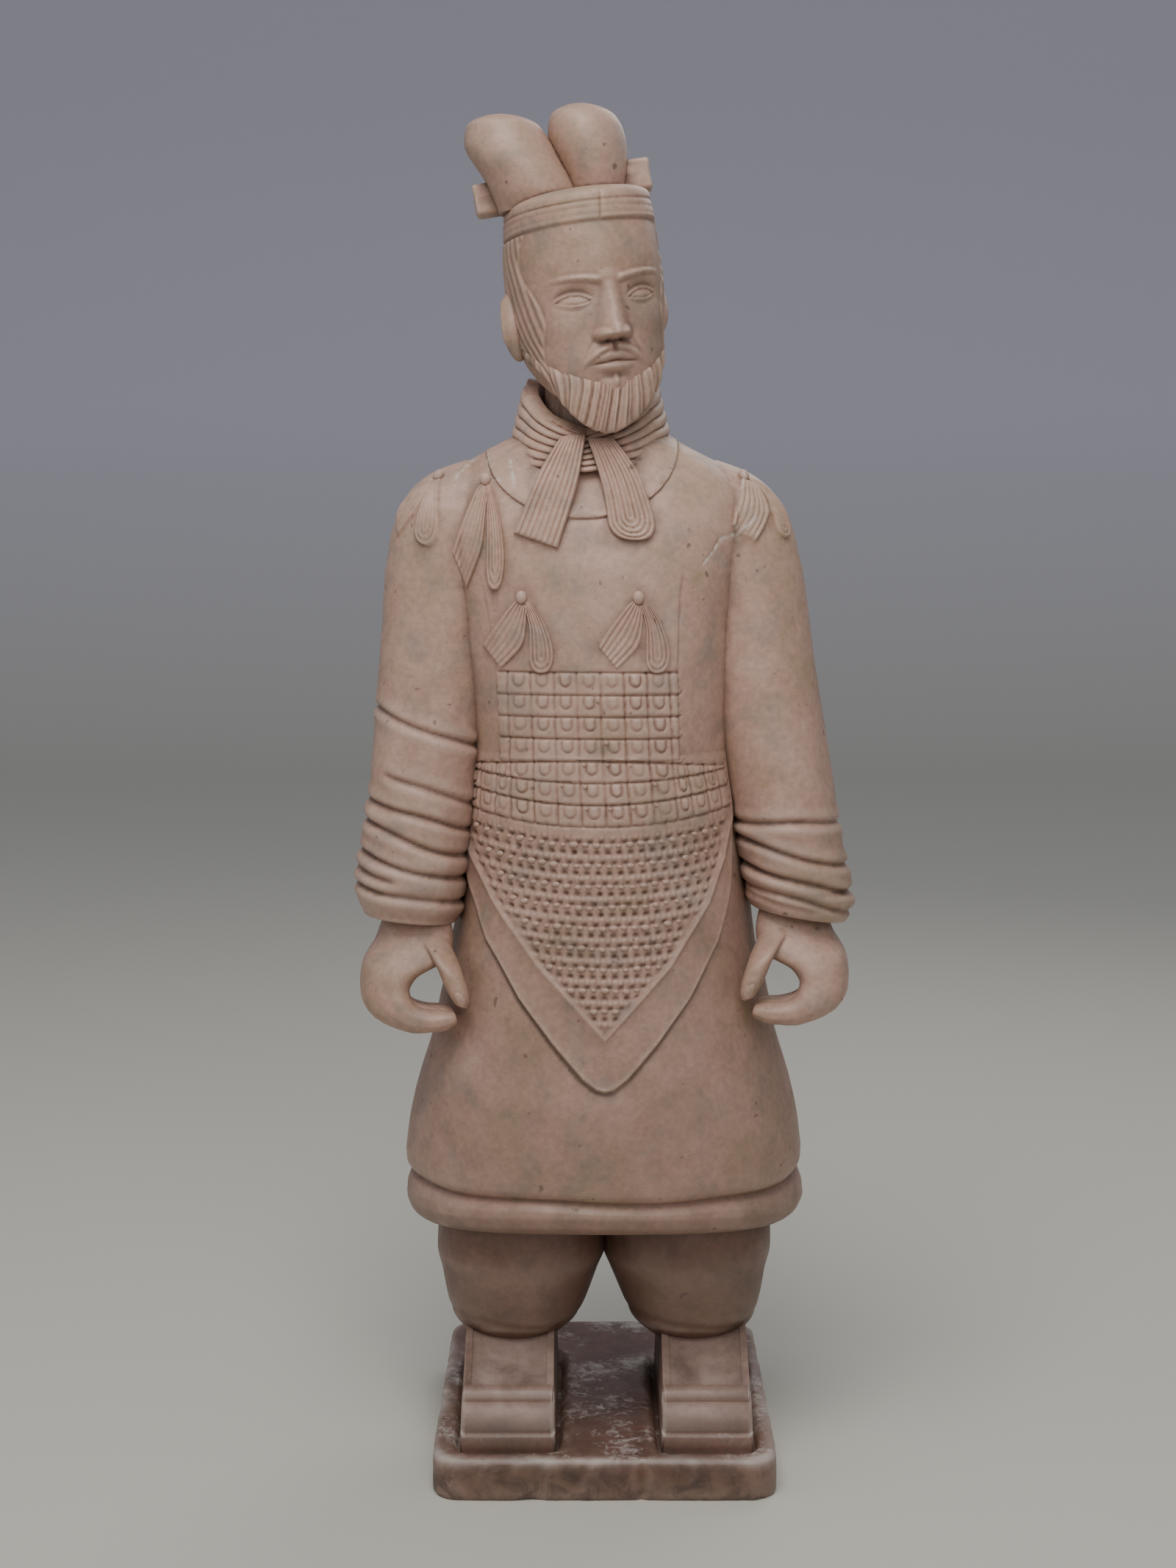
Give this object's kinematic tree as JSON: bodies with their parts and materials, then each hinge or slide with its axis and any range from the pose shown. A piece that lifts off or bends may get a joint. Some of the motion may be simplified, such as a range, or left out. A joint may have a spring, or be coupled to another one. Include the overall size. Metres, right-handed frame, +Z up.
{
  "type": "terracotta warrior statue",
  "caption": "Standing fired-clay warrior in a long robe and scale armour, hands curled to hold a shaft, head turned a little, on a low plinth with rounded corners",
  "frame": {"origin": "centre of the plinth's underside, on the floor", "axes": "+Z is up, the height of the figure; the figure faces -Y; +X is the figure's left, the viewer's right"},
  "size_m": [0.4475, 0.33, 1.201],
  "materials": {
    "warrior_body": "unglazed fired clay, matt, mottled, darker towards the foot",
    "warrior_head": "unglazed fired clay, matt to faintly polished",
    "right_hand": "unglazed fired clay, matt",
    "left_hand": "unglazed fired clay, matt"
  },
  "bodies": {
    "root": {"warrior_body": "warrior_body", "warrior_head": "warrior_head", "right_hand": "right_hand", "left_hand": "left_hand"}
  },
  "joints": []
}
